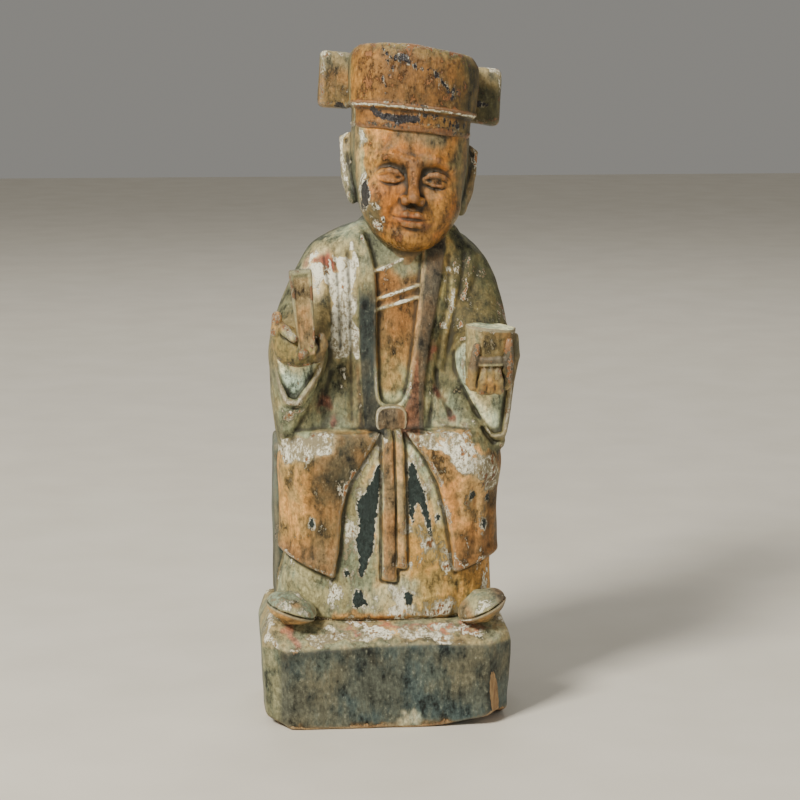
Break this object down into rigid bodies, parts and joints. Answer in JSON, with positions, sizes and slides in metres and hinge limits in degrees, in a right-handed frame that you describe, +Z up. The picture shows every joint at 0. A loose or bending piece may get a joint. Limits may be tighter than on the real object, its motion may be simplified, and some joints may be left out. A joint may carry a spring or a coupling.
{
  "type": "carved wooden figurine",
  "caption": "Seated official carved in wood with worn paint, on a block plinth, holding a tablet and a cup; a plug in the back closes a small cavity.",
  "frame": {"origin": "on the plinth's flat underside, below the middle of the skirt", "axes": "+Z up, -Y is the way the figure faces, +X is the figure's own left"},
  "size_m": [0.11, 0.0825, 0.2889],
  "materials": {
    "dark_lacquer": "old blackish green lacquer over wood, rubbed through at the edges",
    "painted_robe": "worn olive and grey-green paint over chalk ground and wood",
    "bare_wood": "orange-brown wood with remains of lacquer",
    "hat_paint": "orange-brown wood with flakes of black lacquer",
    "red_paint": "red-brown paint with a worn rim",
    "pale_wood": "pale matt wood",
    "paper": "aged matt mulberry paper",
    "thread": "red cotton thread"
  },
  "bodies": {
    "figure": {"plinth": "dark_lacquer", "seat_block": "dark_lacquer", "robe_trunk": "painted_robe", "head": "bare_wood", "hat": "hat_paint", "hat_wing_right": "hat_paint", "hat_wing_left": "hat_paint", "right_hand": "bare_wood", "left_hand": "bare_wood", "tablet": "bare_wood", "cup": "pale_wood", "belt_plaque": "red_paint", "right_shoe": "painted_robe", "left_shoe": "painted_robe", "consecration_scroll": "paper", "scroll_thread": "thread", "herb_packet": "paper", "plinth_dowels": "pale_wood", "seat_dowels": "pale_wood", "hat_dowel": "pale_wood"},
    "cover": {"cavity_cover": "painted_robe"}
  },
  "joints": [
    {"name": "cover_pull", "type": "slide", "parent": "figure", "child": "cover", "axis": [0, 1, 0], "range_m": [0, 0.06]}
  ]
}
